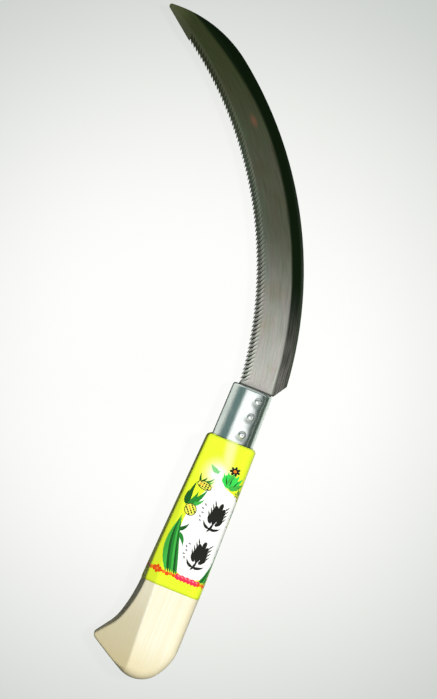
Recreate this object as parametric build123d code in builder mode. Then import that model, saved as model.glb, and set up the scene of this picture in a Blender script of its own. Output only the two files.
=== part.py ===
"""Hand sickle with a saw-toothed blade, as the pieces it is assembled from, in millimetres.

Frame: the origin is the centre of the ferrule's front face, where the blade leaves the handle.
+X runs along the handle towards the blade, +Y is the toothed side, and +Z is up, square to the
blade, with the tool lying on its side. Apart from the tooth grooves, which are milled from above,
and the rivets, whose formed heads are above, the tool is the same above and below Z = 0.
"""

from build123d import *
from math import asin, atan2, cos, degrees, radians, sin, sqrt, tan
import os

# Blade: a stamped and ground steel crescent
BLADE_THICKNESS = 1.8
HEEL_CORNER = (8.2, -17.4)  # outer corner, behind the ferrule
HEEL_INNER_Y = -12.2  # where the heel meets the ferrule's front face
BACK_END = (173.2, 75.0)  # where the long back curve turns into the tip curve
TIP = (187.5, 129.6)
EDGE_HEEL = (0.0, 9.0)  # where the toothed edge meets the ferrule
EDGE_FRONT = (172.6, 110.4)  # where the teeth stop
BACK_RADIUS = 233.0
EDGE_RADIUS = 235.0
TIP_ROUND = 1.4

# Ground band along the back, on both faces
BAND_LINE = [(18.0, -8.8), (96.2, 16.9), (175.7, 87.1)]  # three points of its inner line
BAND_WIDTH = 7.2
BAND_EDGE_THICKNESS = 0.8

# Hollow-ground strip along the toothed edge, on the upper face
STRIP_WIDTH = 4.2
STRIP_EDGE_THICKNESS = 1.2

# Teeth: slanting V grooves milled from the upper face, which run out through the edge
TOOTH_PITCH = 2.5
TOOTH_COUNT = 82
FIRST_TOOTH = 2.6  # along the edge, from the ferrule
GROOVE_SLANT = 38.0  # from square to the edge, towards the tip
GROOVE_REACH = 5.0  # along the groove, from the edge to where it runs out on the upper face
GROOVE_BELOW_EDGE = 0.8  # how far the groove's bottom passes under the lower face at the edge
GROOVE_STEEP_FLANK = 15.0  # from upright, on the tip side
GROOVE_SHALLOW_FLANK = 48.0  # from upright, on the heel side
GROOVE_LEAD = 1.5  # of the cutter, outside the edge

# Tang, the narrow tail of the blade inside the handle
TANG_THICKNESS = 1.6
TANG_LENGTH = 62.0
TANG_ROOT_Y = (-9.6, 6.6)
TANG_END_Y = (-6.6, 2.6)

# Ferrule: a drawn steel cup with a slot in its closed front
FERRULE_LENGTH = 32.5
FERRULE_FRONT_RADIUS = 12.0
FERRULE_REAR_RADIUS = 12.5
FERRULE_WALL = 1.0
FERRULE_RIM_ROUND = 1.6

# Rivets, in a slightly crooked row
RIVET_CENTRES = [(-5.9, -5.2), (-15.5, -4.5), (-26.7, -3.6)]
RIVET_SHANK_RADIUS = 1.5
RIVET_HEAD_RADIUS = 2.45
RIVET_HEAD_RISE = 1.35
RIVET_TAIL_RADIUS = 2.2
RIVET_TAIL_RISE = 0.8
RIVET_SHANK_DROP = 0.1  # of the shank's ends, below the ferrule's side at the rivet's centre
RIVET_SEAT_DEPTH = 2.5  # of a formed end, before the ferrule's side is taken out of it
DOME_SHOULDER = 0.75  # a dome's height and width at its shoulder, as a share of the whole

# Handle
SHOULDER_X = -FERRULE_LENGTH
HALF_THICKNESS = 14.4
GRIP_END_X = -124.0  # where the straight grip starts to flare into the hook
GRIP_BACK_Y = (-14.9, -16.4)  # at the shoulder and at the flare
GRIP_FRONT_Y = (14.9, 19.4)  # at the shoulder and at the flare
GRIP_SPLIT_Y = 10.0  # the front's long edges lie beyond this
FRONT_LEAN = (1.3, 3.4)  # how far the front's top edge stands in, at the shoulder and at the flare
BACK_LEAN = 1.2
FRONT_ROUND = 1.5  # of the long edges
BACK_ROUND = 6.0
SIDE_ROUND = 10.0  # of the two sides, where their leaning halves meet
FLARE_MIDDLE = (-146.0, 23.0)
FLARE_RADIUS = 28.0
HOOK_ANGLE = 35.0  # of the hook's straight upper side, from the handle's axis
NOSE_CORNER = (-164.5, 34.0)
NOSE_RELIEF = 3.0  # how far the nose's rounding is turned in from the hook's upper side
NOSE_CLEARANCE = 20.0
NOSE_ROUND = 3.6
BUTT_SIDE_END = (-176.9, 11.1)  # where the hook's straight lower side turns into the butt
BUTT_RADIUS = 16.4
BUTT_TURN = 83.0  # of the butt's first arc; a flatter one brings it round to the straight back
BUTT_HEEL_RADIUS = 34.0
HOOK_FRONT_X = -130.0  # the hook and butt lie behind this
HOOK_MIDDLE_X = -150.0  # the hook's softened edges lie behind this
CHEEK_SLOPE = 22.0  # of the two flat cheeks, which run out on the front side of the grip
CHEEK_CREST = [(-170.0, 7.9), (-122.0, 10.6)]  # two points of the line where a cheek starts
CHEEK_REACH = 40.0  # of the cheek cutter, across the handle
CHEEK_LENGTH = 120.0  # of the cheek cutter, each way along the crest
BUTT_ROUND = 6.0
HOOK_EDGE_ROUND = 1.5
BLANK_HOOK_LENGTH = 40.0  # of the plank's upper hook side, before the nose is sawn
SHOULDER_ROUND = 2.4
SPIGOT_CHAMFER = 0.8

# Printed film, shrunk over the grip
FILM_THICKNESS = 0.25
FILM_END_X = -123.5

FIT_GAP = 0.1  # around the tang, the rivets' shanks and the wood inside the ferrule
CLEARANCE = 1.0  # by which a cutter reaches past what it cuts
SHORT_EDGE = 2.0  # edges shorter than this stay sharp
LEVEL = 0.01  # heights closer than this count as the same


def arc_centre(start, end, radius):
    """Centre of the arc of this radius from start to end, on the left of that direction."""
    middle = ((start[0] + end[0]) / 2, (start[1] + end[1]) / 2)
    run = (end[0] - start[0], end[1] - start[1])
    chord = sqrt(run[0] ** 2 + run[1] ** 2)
    height = sqrt(radius**2 - (chord / 2) ** 2)
    return (middle[0] - run[1] / chord * height, middle[1] + run[0] / chord * height)


edge_centre = arc_centre(EDGE_HEEL, EDGE_FRONT, EDGE_RADIUS)
half_blade = BLADE_THICKNESS / 2
half_tang = TANG_THICKNESS / 2
rivet_hole_radius = RIVET_SHANK_RADIUS + FIT_GAP


def tang_outline(growth=0.0, root_x=0.0):
    """The tang seen from above, as four corners, grown all round by a gap."""
    return [
        (root_x, TANG_ROOT_Y[0] - growth),
        (root_x, TANG_ROOT_Y[1] + growth),
        (-TANG_LENGTH - growth, TANG_END_Y[1] + growth),
        (-TANG_LENGTH - growth, TANG_END_Y[0] - growth),
    ]


# ---------------------------------------------------------------- tooth groove cutter
# One groove at the origin: local +Y runs into the blade, and local +X along the edge to the heel.
groove_depth = BLADE_THICKNESS + GROOVE_BELOW_EDGE
slant = radians(GROOVE_SLANT)
groove_run = Vector(-sin(slant), cos(slant), groove_depth / GROOVE_REACH)
groove_mouth = Vector(0, 0, -half_blade - GROOVE_BELOW_EDGE) - groove_run * GROOVE_LEAD
mouth_plane = Plane(
    origin=groove_mouth, x_dir=(cos(slant), sin(slant), 0), z_dir=(sin(slant), -cos(slant), 0)
)
cutter_height = 2 * groove_depth

with BuildPart() as groove:
    with BuildSketch(mouth_plane):
        Polygon(
            (0, 0),
            (cutter_height * tan(radians(GROOVE_SHALLOW_FLANK)), cutter_height),
            (-cutter_height * tan(radians(GROOVE_STEEP_FLANK)), cutter_height),
            align=None,
        )
    extrude(amount=(GROOVE_LEAD + GROOVE_REACH) * groove_run.length, dir=groove_run.normalized())

# ---------------------------------------------------------------- blade
first_tooth_angle = asin((EDGE_HEEL[0] - edge_centre[0]) / EDGE_RADIUS) + FIRST_TOOTH / EDGE_RADIUS

with BuildLine() as band_guide:
    band_line = ThreePointArc(*BAND_LINE)
band_centre = band_line.arc_center
band_radius = band_line.radius

with BuildPart() as blade:
    with BuildSketch(Plane.XY.offset(-half_blade)) as blade_outline:
        with BuildLine():
            Line((0, HEEL_INNER_Y), HEEL_CORNER)
            back = RadiusArc(HEEL_CORNER, BACK_END, -BACK_RADIUS)
            TangentArc(BACK_END, TIP, tangent=back % 1)
            Line(TIP, EDGE_FRONT)
            RadiusArc(EDGE_FRONT, EDGE_HEEL, EDGE_RADIUS)
            Line(EDGE_HEEL, (0, HEEL_INNER_Y))
        make_face()
        fillet(blade_outline.vertices().sort_by(Axis.Y)[-1], radius=TIP_ROUND)
    extrude(amount=BLADE_THICKNESS)

    # Ground band along the back: a shallow cone about the centre of its inner line, on both faces
    band_slope = (BLADE_THICKNESS - BAND_EDGE_THICKNESS) / 2 / BAND_WIDTH
    band_reach = 2 * BAND_WIDTH
    with BuildSketch(Plane.XZ.offset(-band_centre.Y)):
        with Locations((band_centre.X, 0)):
            Polygon(
                (band_radius, half_blade),
                (band_radius + band_reach, half_blade - band_slope * band_reach),
                (band_radius + band_reach, half_blade + CLEARANCE),
                (band_radius, half_blade + CLEARANCE),
                align=None,
            )
        mirror(about=Plane.XY)
    revolve(
        axis=Axis((band_centre.X, band_centre.Y, 0), (0, 0, 1)),
        revolution_arc=360,
        mode=Mode.SUBTRACT,
    )

    # Hollow-ground strip along the toothed edge, on the upper face only
    strip_depth = BLADE_THICKNESS - STRIP_EDGE_THICKNESS
    strip_axis = Axis((edge_centre[0], edge_centre[1], 0), (0, 0, 1))
    with BuildSketch(Plane.XZ.offset(-edge_centre[1])):
        with Locations((edge_centre[0], 0)):
            Polygon(
                (EDGE_RADIUS + STRIP_WIDTH, half_blade),
                (EDGE_RADIUS - STRIP_WIDTH, half_blade - 2 * strip_depth),
                (EDGE_RADIUS - STRIP_WIDTH, half_blade + CLEARANCE),
                (EDGE_RADIUS + STRIP_WIDTH, half_blade + CLEARANCE),
                align=None,
            )
    revolve(axis=strip_axis, revolution_arc=360, mode=Mode.SUBTRACT)

    # Teeth: the groove, repeated round the tooth line's centre
    groove_places = []
    for tooth in range(TOOTH_COUNT):
        angle = first_tooth_angle + tooth * TOOTH_PITCH / EDGE_RADIUS
        outward = Vector(sin(angle), -cos(angle), 0)
        edge_point = Vector(*edge_centre) + outward * EDGE_RADIUS
        heelward = Vector(-cos(angle), -sin(angle), 0)
        groove_places.append(Location(Plane(origin=edge_point, x_dir=heelward, z_dir=(0, 0, 1))))
    with Locations(*groove_places):
        add(groove.part, mode=Mode.SUBTRACT)

    # Tang, a little thinner than the blade
    with BuildSketch(Plane.XY.offset(-half_tang)):
        with BuildLine():
            Polyline(*tang_outline(), close=True)
        make_face()
    extrude(amount=TANG_THICKNESS)
    with Locations(*RIVET_CENTRES):
        Hole(radius=rivet_hole_radius)

os.makedirs("parts", exist_ok=True)
blade.part.label = "blade"
export_step(blade.part, "parts/blade.step")

# ---------------------------------------------------------------- ferrule
ferrule_slope = (FERRULE_REAR_RADIUS - FERRULE_FRONT_RADIUS) / FERRULE_LENGTH

with BuildPart() as ferrule_form:
    with BuildSketch(Plane.XY):
        Polygon(
            (0, 0),
            (0, FERRULE_FRONT_RADIUS),
            (-FERRULE_LENGTH, FERRULE_REAR_RADIUS),
            (-FERRULE_LENGTH, 0),
            align=None,
        )
    revolve(axis=Axis.X)
    fillet(ferrule_form.edges().sort_by(Axis.X)[-1], radius=FERRULE_RIM_ROUND)

with BuildPart() as ferrule:
    add(ferrule_form.part)
    offset(
        amount=-FERRULE_WALL,
        openings=ferrule.faces().sort_by(Axis.X)[0],
        kind=Kind.INTERSECTION,
    )
    with BuildSketch(Plane.XY.offset(-half_tang - FIT_GAP)):
        with BuildLine():
            Polyline(*tang_outline(growth=FIT_GAP, root_x=CLEARANCE), close=True)
        make_face()
    extrude(amount=TANG_THICKNESS + 2 * FIT_GAP, mode=Mode.SUBTRACT)
    with Locations(*RIVET_CENTRES):
        Hole(radius=rivet_hole_radius)

ferrule.part.label = "ferrule"
export_step(ferrule.part, "parts/ferrule.step")

# ---------------------------------------------------------------- handle
def grip_plan(plane, growth, front_lean=(0.0, 0.0), back_lean=0.0):
    """The plank's outline on this plane, grown all round, with its two long sides set in."""
    end_rise = atan2(GRIP_FRONT_Y[1] - GRIP_FRONT_Y[0], GRIP_END_X - SHOULDER_X)
    chord = Vector(*FLARE_MIDDLE) - Vector(GRIP_END_X, GRIP_FRONT_Y[1])
    flare_heading = 2 * atan2(chord.Y, chord.X) - end_rise
    flare_inset = Vector(-sin(flare_heading), cos(flare_heading)) * front_lean[1]
    back_y = GRIP_BACK_Y[1] + back_lean
    with BuildSketch(plane) as plan:
        with BuildLine():
            front = Line(
                (SHOULDER_X, GRIP_FRONT_Y[0] - front_lean[0]),
                (GRIP_END_X, GRIP_FRONT_Y[1] - front_lean[1]),
            )
            flare = TangentArc(front @ 1, Vector(*FLARE_MIDDLE) + flare_inset, tangent=front % 1)
            hook = JernArc(
                start=flare @ 1,
                tangent=flare % 1,
                radius=FLARE_RADIUS + front_lean[1],
                arc_size=180 - HOOK_ANGLE - degrees(atan2((flare % 1).Y, (flare % 1).X)),
            )
            hook_side = PolarLine(start=hook @ 1, length=BLANK_HOOK_LENGTH, angle=180 - HOOK_ANGLE)
            tail = Line(hook_side @ 1, ((hook_side @ 1).X, back_y))
            butt_back = Line(tail @ 1, (GRIP_END_X, back_y))
            back = Line(butt_back @ 1, (SHOULDER_X, GRIP_BACK_Y[0] + back_lean))
            Line(back @ 1, front @ 0)
        make_face()
        if growth > 0:
            offset(amount=growth, kind=Kind.INTERSECTION)
    return plan.sketch.face()


def cheek_cutter(growth):
    """The wedges outside the two sloping cheeks, whose crest crosses the grip at a slight angle."""
    crest = Vector(*CHEEK_CREST[1]) - Vector(*CHEEK_CREST[0])
    across = Plane(
        origin=(*CHEEK_CREST[0], 0), x_dir=(-crest.Y, crest.X, 0), z_dir=(crest.X, crest.Y, 0)
    )
    top = HALF_THICKNESS + growth
    with BuildPart() as cutter:
        with BuildSketch(across):
            Polygon(
                (0, top),
                (CHEEK_REACH, top - CHEEK_REACH * tan(radians(CHEEK_SLOPE))),
                (CHEEK_REACH, top + CHEEK_REACH),
                (0, top + CHEEK_REACH),
                align=None,
            )
            mirror(about=Plane.XZ)
        extrude(amount=CHEEK_LENGTH, both=True)
    return cutter.part


def long_edges(form, height):
    """Edges of this form that run along the handle at this height above or below its middle."""
    return (
        form.edges()
        .filter_by(lambda edge: edge.bounding_box().size.X > SHORT_EDGE)
        .filter_by(lambda edge: abs(abs(edge.center().Z) - height) < LEVEL)
    )


def grip_blank(growth):
    """The shaped plank: leaning sides, softened edges and shoulder, and the two cheeks."""
    top = HALF_THICKNESS + growth
    with BuildPart() as blank:
        widest = grip_plan(Plane.XY, growth)
        narrowest = grip_plan(Plane.XY.offset(top), growth, FRONT_LEAN, BACK_LEAN)
        loft(sections=[widest, narrowest], ruled=True)
        mirror(about=Plane.XY)
        back_rims = long_edges(blank, top).filter_by(lambda edge: edge.center().Y < 0)
        fillet(back_rims, radius=BACK_ROUND + growth)
        front_rims = long_edges(blank, top).filter_by(lambda edge: edge.center().Y > GRIP_SPLIT_Y)
        fillet(front_rims, radius=FRONT_ROUND + growth)
        fillet(long_edges(blank, 0), radius=SIDE_ROUND + growth)
        fillet(blank.faces().sort_by(Axis.X)[-1].edges(), radius=SHOULDER_ROUND + growth)
        add(cheek_cutter(growth), mode=Mode.SUBTRACT)
    return blank.part


# The hook and butt: the sawn outline with its well rounded end
with BuildPart() as butt_form:
    with BuildSketch(Plane.XY.offset(-HALF_THICKNESS)) as butt_plan:
        with BuildLine():
            nose_angle = radians(HOOK_ANGLE - NOSE_RELIEF)
            nose_run = Vector(cos(nose_angle), -sin(nose_angle)) * NOSE_CLEARANCE
            nose_side = Line(Vector(*NOSE_CORNER) + nose_run, NOSE_CORNER)
            lower_side = Line(nose_side @ 1, BUTT_SIDE_END)
            side_heading = degrees(atan2((lower_side % 1).Y, (lower_side % 1).X))
            butt_arc = JernArc(
                start=lower_side @ 1,
                tangent=lower_side % 1,
                radius=BUTT_RADIUS,
                arc_size=BUTT_TURN,
            )
            heel_arc = JernArc(
                start=butt_arc @ 1,
                tangent=butt_arc % 1,
                radius=BUTT_HEEL_RADIUS,
                arc_size=-side_heading - BUTT_TURN,
            )
            back_run = Line(heel_arc @ 1, (0, (heel_arc @ 1).Y))
            Polyline(back_run @ 1, (0, NOSE_CORNER[1]), nose_side @ 0)
        make_face()
        fillet(butt_plan.vertices().sort_by_distance(NOSE_CORNER)[0], radius=NOSE_ROUND)
    extrude(amount=2 * HALF_THICKNESS)
    butt_rims = (
        butt_form.edges()
        .filter_by(lambda edge: edge.bounding_box().max.X < HOOK_FRONT_X)
        .filter_by(lambda edge: edge.bounding_box().size.X > 1)
    )
    fillet(butt_rims, radius=BUTT_ROUND)

with BuildPart() as handle:
    add(grip_blank(0.0))
    add(butt_form.part, mode=Mode.INTERSECT)
    hook_edges = (
        handle.edges()
        .filter_by(lambda edge: edge.bounding_box().max.X < HOOK_MIDDLE_X)
        .filter_by(lambda edge: edge.center().Y > CHEEK_CREST[0][1])
        .filter_by(lambda edge: abs(edge.center().Z) > CLEARANCE and edge.length > SHORT_EDGE)
    )
    fillet(hook_edges, radius=HOOK_EDGE_ROUND)
    # Spigot, turned to fill the ferrule
    with BuildSketch(Plane.XY):
        Polygon(
            (SHOULDER_X - CLEARANCE, 0),
            (SHOULDER_X - CLEARANCE, FERRULE_REAR_RADIUS - FERRULE_WALL - FIT_GAP),
            (-FERRULE_WALL - FIT_GAP, FERRULE_FRONT_RADIUS - FERRULE_WALL - FIT_GAP),
            (-FERRULE_WALL - FIT_GAP, 0),
            align=None,
        )
    revolve(axis=Axis.X)
    chamfer(handle.edges().sort_by(Axis.X)[-1], length=SPIGOT_CHAMFER)
    # Mortise for the tang
    with BuildSketch(Plane.XY.offset(-half_tang - FIT_GAP)):
        with BuildLine():
            Polyline(*tang_outline(growth=FIT_GAP), close=True)
        make_face()
    extrude(amount=TANG_THICKNESS + 2 * FIT_GAP, mode=Mode.SUBTRACT)
    with Locations(*RIVET_CENTRES):
        Hole(radius=rivet_hole_radius)

handle.part.label = "handle"
export_step(handle.part, "parts/handle.step")

# ---------------------------------------------------------------- label sleeve
with BuildPart() as label_sleeve:
    add(grip_blank(FILM_THICKNESS))
    split(bisect_by=Plane.YZ.offset(FILM_END_X), keep=Keep.TOP)
    add(grip_blank(0.0), mode=Mode.SUBTRACT)
    with BuildSketch(Plane.YZ.offset(SHOULDER_X)):
        Circle(FERRULE_REAR_RADIUS + FIT_GAP)
    extrude(amount=CLEARANCE, both=True, mode=Mode.SUBTRACT)

label_sleeve.part.label = "label_sleeve"
export_step(label_sleeve.part, "parts/label_sleeve.step")

# ---------------------------------------------------------------- rivets
def ferrule_height(centre):
    """Height of the ferrule's outer side above a rivet's centre."""
    outer_radius = FERRULE_FRONT_RADIUS - centre[0] * ferrule_slope
    return sqrt(outer_radius**2 - centre[1] ** 2)


def rivet_end(centre, side, radius, rise):
    """One formed end of a rivet, a low dome standing square on the ferrule's round side."""
    surface_z = ferrule_height(centre) * side
    seat = Plane(
        origin=(centre[0], centre[1], surface_z), x_dir=(1, 0, 0), z_dir=(0, centre[1], surface_z)
    )
    upright = Plane(origin=seat.origin, x_dir=seat.x_dir, z_dir=-seat.y_dir)
    with BuildPart() as end:
        with BuildSketch(upright):
            with BuildLine():
                dome = ThreePointArc(
                    (radius, 0), (radius * DOME_SHOULDER, rise * DOME_SHOULDER), (0, rise)
                )
                Polyline(dome @ 1, (0, -RIVET_SEAT_DEPTH), (radius, -RIVET_SEAT_DEPTH), dome @ 0)
            make_face()
        revolve(axis=Axis(seat.origin, seat.z_dir))
        add(ferrule_form.part, mode=Mode.SUBTRACT)
    return end.part


rivet_solids = []
for centre in RIVET_CENTRES:
    with BuildPart() as rivet:
        with Locations(centre):
            Cylinder(
                radius=RIVET_SHANK_RADIUS, height=2 * (ferrule_height(centre) - RIVET_SHANK_DROP)
            )
        add(rivet_end(centre, 1, RIVET_HEAD_RADIUS, RIVET_HEAD_RISE))
        add(rivet_end(centre, -1, RIVET_TAIL_RADIUS, RIVET_TAIL_RISE))
    rivet_solids.append(rivet.part)

with BuildPart() as rivets:
    add(rivet_solids)

rivets.part.label = "rivets"
export_step(rivets.part, "parts/rivets.step")
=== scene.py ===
"""Looks for the hand sickle: materials, the printed film with its artwork, lights and camera.

The frame is the CAD frame: +X along the handle towards the blade, +Y the toothed side, +Z up.
Blender works in metres, and names that end in _MM or _mm are millimetres, as are all the shapes
of the printed film and every length inside a shader.
"""

import bisect
import math

import bmesh
import bpy
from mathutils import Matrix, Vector
from mathutils.geometry import delaunay_2d_cdt


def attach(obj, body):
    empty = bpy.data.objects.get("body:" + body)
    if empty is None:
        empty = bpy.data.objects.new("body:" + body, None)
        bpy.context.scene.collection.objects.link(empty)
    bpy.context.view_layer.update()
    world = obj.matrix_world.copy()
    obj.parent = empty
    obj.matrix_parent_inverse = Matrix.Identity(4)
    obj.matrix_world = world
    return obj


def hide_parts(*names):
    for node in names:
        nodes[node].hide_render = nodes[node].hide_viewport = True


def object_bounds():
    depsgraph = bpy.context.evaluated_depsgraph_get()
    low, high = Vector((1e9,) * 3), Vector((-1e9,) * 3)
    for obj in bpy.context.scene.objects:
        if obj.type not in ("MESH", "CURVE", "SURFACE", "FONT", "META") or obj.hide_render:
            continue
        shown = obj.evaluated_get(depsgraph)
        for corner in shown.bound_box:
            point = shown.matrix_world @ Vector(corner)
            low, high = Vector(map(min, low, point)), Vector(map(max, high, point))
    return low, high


MM = 0.001

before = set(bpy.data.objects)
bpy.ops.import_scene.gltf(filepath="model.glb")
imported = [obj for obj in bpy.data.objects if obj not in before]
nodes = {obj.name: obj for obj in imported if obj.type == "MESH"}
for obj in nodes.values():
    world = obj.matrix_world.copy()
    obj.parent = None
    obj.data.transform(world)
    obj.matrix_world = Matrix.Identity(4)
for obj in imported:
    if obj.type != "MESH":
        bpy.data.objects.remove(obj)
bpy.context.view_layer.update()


# ------------------------------------------------------------------ shader helper
class Shader:
    """A thin wrapper round a material's or world's node tree: a shader then reads as a formula."""

    def __init__(self, owner):
        self.owner = owner
        owner.use_nodes = True
        self.tree = owner.node_tree

    def node(self, kind, **settings):
        made = self.tree.nodes.new(kind)
        for key, value in settings.items():
            setattr(made, key, value)
        return made

    def put(self, socket, value):
        if isinstance(value, bpy.types.NodeSocket):
            self.tree.links.new(value, socket)
        elif isinstance(value, (tuple, list)) and socket.type == "RGBA":
            socket.default_value = (*value[:3], 1.0)
        else:
            socket.default_value = value

    def math(self, operation, a, b=0.0, c=0.0):
        made = self.node("ShaderNodeMath", operation=operation)
        for socket, value in zip(made.inputs, (a, b, c)):
            self.put(socket, value)
        return made.outputs[0]

    def times(self, a, b):
        return self.math("MULTIPLY", a, b)

    def plus(self, a, b):
        return self.math("ADD", a, b)

    def minus(self, a, b):
        return self.math("SUBTRACT", a, b)

    def ramp(self, value, start, end, low=0.0, high=1.0):
        """Goes smoothly from low to high as value goes from start to end."""
        made = self.node("ShaderNodeMapRange", interpolation_type="SMOOTHSTEP")
        settings = {"Value": value, "From Min": start, "From Max": end,
                    "To Min": low, "To Max": high}
        for name, setting in settings.items():
            self.put(made.inputs[name], setting)
        return made.outputs[0]

    def mix(self, share, a, b, mode="MIX"):
        made = self.node("ShaderNodeMix", data_type="RGBA", blend_type=mode)
        self.put(made.inputs[0], share)
        self.put(made.inputs[6], a)
        self.put(made.inputs[7], b)
        return made.outputs[2]

    def split(self, vector):
        parts = self.node("ShaderNodeSeparateXYZ")
        self.put(parts.inputs[0], vector)
        return list(parts.outputs)

    def combine(self, x=0.0, y=0.0, z=0.0):
        made = self.node("ShaderNodeCombineXYZ")
        for socket, value in zip(made.inputs, (x, y, z)):
            self.put(socket, value)
        return made.outputs[0]

    def place(self):
        """x, y and z of the shaded point, in millimetres."""
        where = self.node("ShaderNodeTexCoord").outputs["Object"]
        return [self.times(part, 1 / MM) for part in self.split(where)]

    def noise(self, where, scale=1.0, detail=2.0, roughness=0.5):
        made = self.node("ShaderNodeTexNoise")
        settings = {"Vector": where, "Scale": scale, "Detail": detail, "Roughness": roughness}
        for name, setting in settings.items():
            self.put(made.inputs[name], setting)
        return made.outputs["Fac"]

    def bump(self, height, strength, distance_mm):
        made = self.node("ShaderNodeBump")
        self.put(made.inputs["Height"], height)
        self.put(made.inputs["Strength"], strength)
        self.put(made.inputs["Distance"], distance_mm * MM)
        return made.outputs[0]

    def distance(self, x, y, centre):
        """How far (x, y) is from the centre, seen from above."""
        run_x, run_y = self.minus(x, centre[0]), self.minus(y, centre[1])
        return self.math("SQRT", self.plus(self.times(run_x, run_x), self.times(run_y, run_y)))

    def spot(self, x, y, centre, radius, core=0.0):
        """1 within the core, falling smoothly to 0 at the radius, seen from above."""
        return self.ramp(self.distance(x, y, centre), radius, core)

    def stretched(self, where, by):
        """A place with each of its three parts multiplied, for a pattern with a grain."""
        return self.combine(*(self.times(part, factor) for part, factor in zip(where, by)))

    def tinted(self, share, color, tint):
        """The color, multiplied by the tint as far as share says."""
        return self.mix(share, color, self.mix(1.0, color, tint, "MULTIPLY"))

    def finish(self, **inputs):
        """Sets the Principled shader's inputs, such as Base_Color, and returns the material."""
        surface = self.tree.nodes["Principled BSDF"]
        for name, value in inputs.items():
            self.put(surface.inputs[name.replace("_", " ")], value)
        return self.owner


def new_material(name):
    return Shader(bpy.data.materials.new(name))


def dress(node, material):
    """Gives a CAD node its material."""
    slots = nodes[node].data.materials
    slots.clear()
    slots.append(material)


# ------------------------------------------------------------------ blade
# Places are (x, y) and lengths are millimetres. Colours are linear, as in every shader here.
BLADE_CENTRE = (-13.4, 214.6)  # of the back's long curve, which the grinding marks follow
BLADE_RADIUS = 233.0
BAND_LINE = ((18.0, -8.8), (96.2, 16.9), (175.7, 87.1))  # three points of the band's inner line
RUST_SPOT = (143.0, 57.5)
RUST_REACH = 2.4
RUST_LENGTHENING = 0.36  # the share of a step along the blade that counts as distance
TIP = (187.0, 126.0)
TIP_SHINE_REACH = 17.0
EDGE_CENTRE = (-21.2, 243.0)
EDGE_RADIUS = 235.0
STRIP_WIDTH = 4.2  # of the strip that the tooth grooves are milled in
TOOTH_PITCH = 2.5
FIRST_TOOTH_TURN = 0.1014  # radians about the edge centre
GROOVE_LEAN = math.tan(math.radians(38.0))

# The face's colours from heel to tip are partly the steel's own finish and partly painted
# reflection
HEEL_STEEL_AND_REFLECTION = (0.54, 0.53, 0.50)
MIDDLE_STEEL_AND_REFLECTION = (0.093, 0.099, 0.073)
TIP_STEEL_AND_REFLECTION = (0.045, 0.0565, 0.0245)
TIP_SHINE = (0.125, 0.150, 0.070)
# The band's colours, at the heel and beyond, are painted dark reflection of its bevel
BAND_HEEL_DARK, BAND_HEEL_LIGHT = (0.035, 0.035, 0.030), (0.21, 0.205, 0.185)
BAND_PAINTED_DARK_REFLECTION = (0.006, 0.013, 0.005)
BACK_RIM_STEEL = (0.045, 0.060, 0.038)
RUST_BROWN = (0.15, 0.052, 0.03)
# painted shade and painted light for the tooth grooves' flanks
GROOVE_PAINTED_SHADE = (0.035, 0.038, 0.03)
GROOVE_PAINTED_LIGHT_TINT = (1.75, 1.75, 1.70)
# painted shade on the tooth points
POINT_PAINTED_SHADE = (0.03, 0.033, 0.026)
# painted shade on the tooth strip near the tip
STRIP_PAINTED_SHADE = (0.022, 0.026, 0.015)
# painted contact shadow at the ferrule's mouth
JOINT_PAINTED_SHADOW = (0.02, 0.02, 0.016)


def circle_through(a, b, c):
    """Centre and radius of the circle through three points."""
    ax, ay, bx, by, cx, cy = *a, *b, *c
    d = 2 * (ax * (by - cy) + bx * (cy - ay) + cx * (ay - by))
    a2, b2, c2 = ax * ax + ay * ay, bx * bx + by * by, cx * cx + cy * cy
    x = (a2 * (by - cy) + b2 * (cy - ay) + c2 * (ay - by)) / d
    y = (a2 * (cx - bx) + b2 * (ax - cx) + c2 * (bx - ax)) / d
    return (x, y), math.hypot(ax - x, ay - y)


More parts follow.
